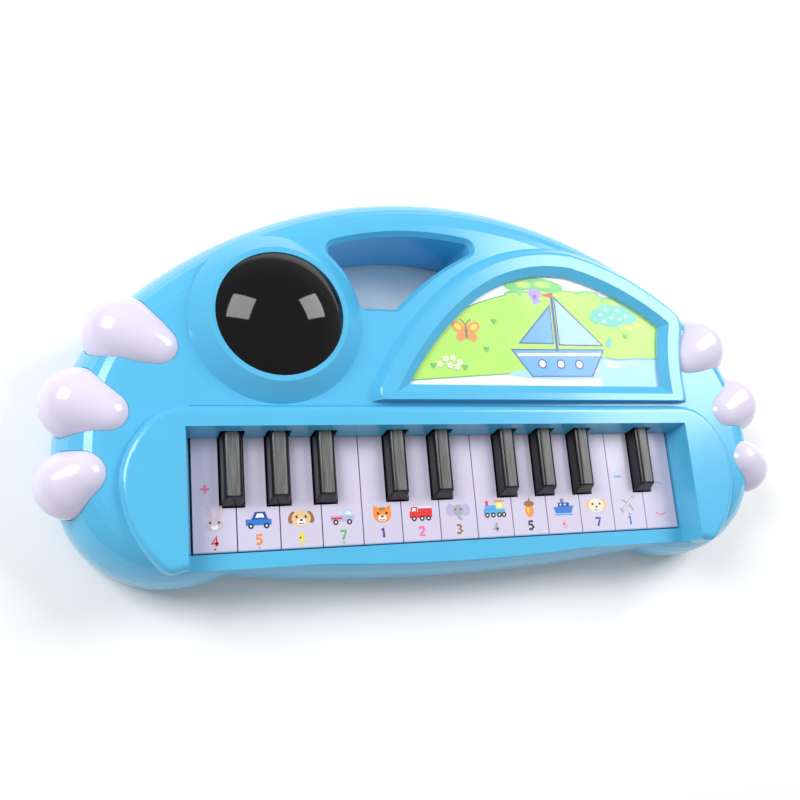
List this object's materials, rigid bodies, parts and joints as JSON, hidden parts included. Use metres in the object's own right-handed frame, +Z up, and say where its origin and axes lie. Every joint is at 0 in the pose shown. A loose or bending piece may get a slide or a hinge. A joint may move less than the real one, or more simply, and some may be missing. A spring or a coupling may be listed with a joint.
{
  "type": "toy electronic keyboard",
  "caption": "Toy electronic keyboard with a carrying handle, a lamp under a smoked dome, a framed picture and white and black keys that press down.",
  "frame": {"origin": "centre of the footprint, on the table under the rubber feet", "axes": "+X to the player's right along the keys, +Y away from the player towards the handle, +Z up"},
  "size_m": [0.3336, 0.1695, 0.0535],
  "materials": {
    "case_blue": "glossy moulded ABS",
    "claw_white": "glossy moulded ABS",
    "key_white": "satin moulded ABS with printed marks",
    "key_black": "glossy moulded ABS",
    "lens_smoke": "smoked clear plastic, nearly black",
    "reflector": "vacuum-metallised plastic",
    "led": "clear coloured epoxy",
    "clear_plate": "clear acrylic",
    "print": "printed film",
    "board": "phenolic circuit board",
    "chip": "epoxy blob and capacitors",
    "rubber_grey": "silicone rubber",
    "rubber_black": "moulded rubber",
    "steel": "plated steel",
    "magnet": "ferrite magnet and steel cap",
    "cone_paper": "pressed paper cone",
    "cell": "printed steel jacket",
    "switch_black": "moulded ABS",
    "wire": "PVC insulation"
  },
  "bodies": {
    "case": {"upper_shell": "case_blue", "lower_shell": "case_blue", "claw_left_upper": "claw_white", "claw_left_middle": "claw_white", "claw_left_lower": "claw_white", "claw_right_upper": "claw_white", "claw_right_middle": "claw_white", "claw_right_lower": "claw_white", "dome_lens": "lens_smoke", "lamp_reflector": "reflector", "lamp_leds": "led", "picture_window": "clear_plate", "picture_film": "print", "key_contact_board": "board", "sound_board": "board", "lamp_board": "board", "sound_chips": "chip", "key_contact_mat": "rubber_grey", "rubber_feet": "rubber_black", "key_pivot_rod": "steel", "case_screws": "steel", "board_screws": "steel", "battery_springs": "steel", "battery_plates": "steel", "speaker_basket": "steel", "speaker_magnet": "magnet", "speaker_cone": "cone_paper", "battery_cells": "cell", "switch_housing": "switch_black", "battery_leads": "wire", "speaker_leads": "wire", "lamp_leads": "wire"},
    "white_key_01_lever": {"white_key_01": "key_white"},
    "white_key_02_lever": {"white_key_02": "key_white"},
    "white_key_03_lever": {"white_key_03": "key_white"},
    "white_key_04_lever": {"white_key_04": "key_white"},
    "white_key_05_lever": {"white_key_05": "key_white"},
    "white_key_06_lever": {"white_key_06": "key_white"},
    "white_key_07_lever": {"white_key_07": "key_white"},
    "white_key_08_lever": {"white_key_08": "key_white"},
    "white_key_09_lever": {"white_key_09": "key_white"},
    "white_key_10_lever": {"white_key_10": "key_white"},
    "white_key_11_lever": {"white_key_11": "key_white"},
    "white_key_12_lever": {"white_key_12": "key_white"},
    "white_key_13_lever": {"white_key_13": "key_white"},
    "black_key_01_lever": {"black_key_01": "key_black"},
    "black_key_02_lever": {"black_key_02": "key_black"},
    "black_key_03_lever": {"black_key_03": "key_black"},
    "black_key_04_lever": {"black_key_04": "key_black"},
    "black_key_05_lever": {"black_key_05": "key_black"},
    "black_key_06_lever": {"black_key_06": "key_black"},
    "black_key_07_lever": {"black_key_07": "key_black"},
    "black_key_08_lever": {"black_key_08": "key_black"},
    "black_key_09_lever": {"black_key_09": "key_black"},
    "battery_door": {"battery_door": "case_blue", "battery_door_screw": "steel"},
    "switch_knob": {"switch_knob": "switch_black"}
  },
  "joints": [
    {"name": "white_key_01_press", "type": "hinge", "parent": "case", "child": "white_key_01_lever", "pos_m": [0, -0.01425, 0.0235], "axis": [1, 0, 0], "range_deg": [0, 3.5], "stiffness_Nm_per_rad": 0.2, "springref_deg": -5.73, "deforming": ["key_contact_mat"]},
    {"name": "white_key_02_press", "type": "hinge", "parent": "case", "child": "white_key_02_lever", "pos_m": [0, -0.01425, 0.0235], "axis": [1, 0, 0], "range_deg": [0, 3.5], "stiffness_Nm_per_rad": 0.2, "springref_deg": -5.73},
    {"name": "white_key_03_press", "type": "hinge", "parent": "case", "child": "white_key_03_lever", "pos_m": [0, -0.01425, 0.0235], "axis": [1, 0, 0], "range_deg": [0, 3.5], "stiffness_Nm_per_rad": 0.2, "springref_deg": -5.73},
    {"name": "white_key_04_press", "type": "hinge", "parent": "case", "child": "white_key_04_lever", "pos_m": [0, -0.01425, 0.0235], "axis": [1, 0, 0], "range_deg": [0, 3.5], "stiffness_Nm_per_rad": 0.2, "springref_deg": -5.73},
    {"name": "white_key_05_press", "type": "hinge", "parent": "case", "child": "white_key_05_lever", "pos_m": [0, -0.01425, 0.0235], "axis": [1, 0, 0], "range_deg": [0, 3.5], "stiffness_Nm_per_rad": 0.2, "springref_deg": -5.73},
    {"name": "white_key_06_press", "type": "hinge", "parent": "case", "child": "white_key_06_lever", "pos_m": [0, -0.01425, 0.0235], "axis": [1, 0, 0], "range_deg": [0, 3.5], "stiffness_Nm_per_rad": 0.2, "springref_deg": -5.73},
    {"name": "white_key_07_press", "type": "hinge", "parent": "case", "child": "white_key_07_lever", "pos_m": [0, -0.01425, 0.0235], "axis": [1, 0, 0], "range_deg": [0, 3.5], "stiffness_Nm_per_rad": 0.2, "springref_deg": -5.73},
    {"name": "white_key_08_press", "type": "hinge", "parent": "case", "child": "white_key_08_lever", "pos_m": [0, -0.01425, 0.0235], "axis": [1, 0, 0], "range_deg": [0, 3.5], "stiffness_Nm_per_rad": 0.2, "springref_deg": -5.73},
    {"name": "white_key_09_press", "type": "hinge", "parent": "case", "child": "white_key_09_lever", "pos_m": [0, -0.01425, 0.0235], "axis": [1, 0, 0], "range_deg": [0, 3.5], "stiffness_Nm_per_rad": 0.2, "springref_deg": -5.73},
    {"name": "white_key_10_press", "type": "hinge", "parent": "case", "child": "white_key_10_lever", "pos_m": [0, -0.01425, 0.0235], "axis": [1, 0, 0], "range_deg": [0, 3.5], "stiffness_Nm_per_rad": 0.2, "springref_deg": -5.73},
    {"name": "white_key_11_press", "type": "hinge", "parent": "case", "child": "white_key_11_lever", "pos_m": [0, -0.01425, 0.0235], "axis": [1, 0, 0], "range_deg": [0, 3.5], "stiffness_Nm_per_rad": 0.2, "springref_deg": -5.73},
    {"name": "white_key_12_press", "type": "hinge", "parent": "case", "child": "white_key_12_lever", "pos_m": [0, -0.01425, 0.0235], "axis": [1, 0, 0], "range_deg": [0, 3.5], "stiffness_Nm_per_rad": 0.2, "springref_deg": -5.73},
    {"name": "white_key_13_press", "type": "hinge", "parent": "case", "child": "white_key_13_lever", "pos_m": [0, -0.01425, 0.0235], "axis": [1, 0, 0], "range_deg": [0, 3.5], "stiffness_Nm_per_rad": 0.2, "springref_deg": -5.73},
    {"name": "black_key_01_press", "type": "hinge", "parent": "case", "child": "black_key_01_lever", "pos_m": [0, -0.01425, 0.0235], "axis": [1, 0, 0], "range_deg": [0, 3.5], "stiffness_Nm_per_rad": 0.2, "springref_deg": -5.73},
    {"name": "black_key_02_press", "type": "hinge", "parent": "case", "child": "black_key_02_lever", "pos_m": [0, -0.01425, 0.0235], "axis": [1, 0, 0], "range_deg": [0, 3.5], "stiffness_Nm_per_rad": 0.2, "springref_deg": -5.73},
    {"name": "black_key_03_press", "type": "hinge", "parent": "case", "child": "black_key_03_lever", "pos_m": [0, -0.01425, 0.0235], "axis": [1, 0, 0], "range_deg": [0, 3.5], "stiffness_Nm_per_rad": 0.2, "springref_deg": -5.73},
    {"name": "black_key_04_press", "type": "hinge", "parent": "case", "child": "black_key_04_lever", "pos_m": [0, -0.01425, 0.0235], "axis": [1, 0, 0], "range_deg": [0, 3.5], "stiffness_Nm_per_rad": 0.2, "springref_deg": -5.73},
    {"name": "black_key_05_press", "type": "hinge", "parent": "case", "child": "black_key_05_lever", "pos_m": [0, -0.01425, 0.0235], "axis": [1, 0, 0], "range_deg": [0, 3.5], "stiffness_Nm_per_rad": 0.2, "springref_deg": -5.73},
    {"name": "black_key_06_press", "type": "hinge", "parent": "case", "child": "black_key_06_lever", "pos_m": [0, -0.01425, 0.0235], "axis": [1, 0, 0], "range_deg": [0, 3.5], "stiffness_Nm_per_rad": 0.2, "springref_deg": -5.73},
    {"name": "black_key_07_press", "type": "hinge", "parent": "case", "child": "black_key_07_lever", "pos_m": [0, -0.01425, 0.0235], "axis": [1, 0, 0], "range_deg": [0, 3.5], "stiffness_Nm_per_rad": 0.2, "springref_deg": -5.73},
    {"name": "black_key_08_press", "type": "hinge", "parent": "case", "child": "black_key_08_lever", "pos_m": [0, -0.01425, 0.0235], "axis": [1, 0, 0], "range_deg": [0, 3.5], "stiffness_Nm_per_rad": 0.2, "springref_deg": -5.73},
    {"name": "black_key_09_press", "type": "hinge", "parent": "case", "child": "black_key_09_lever", "pos_m": [0, -0.01425, 0.0235], "axis": [1, 0, 0], "range_deg": [0, 3.5], "stiffness_Nm_per_rad": 0.2, "springref_deg": -5.73},
    {"name": "battery_door_off", "type": "slide", "parent": "case", "child": "battery_door", "axis": [0, 0, -1], "range_m": [0, 0.03]},
    {"name": "power_switch_slide", "type": "slide", "parent": "case", "child": "switch_knob", "axis": [1, 0, 0], "range_m": [0, 0.004]}
  ]
}
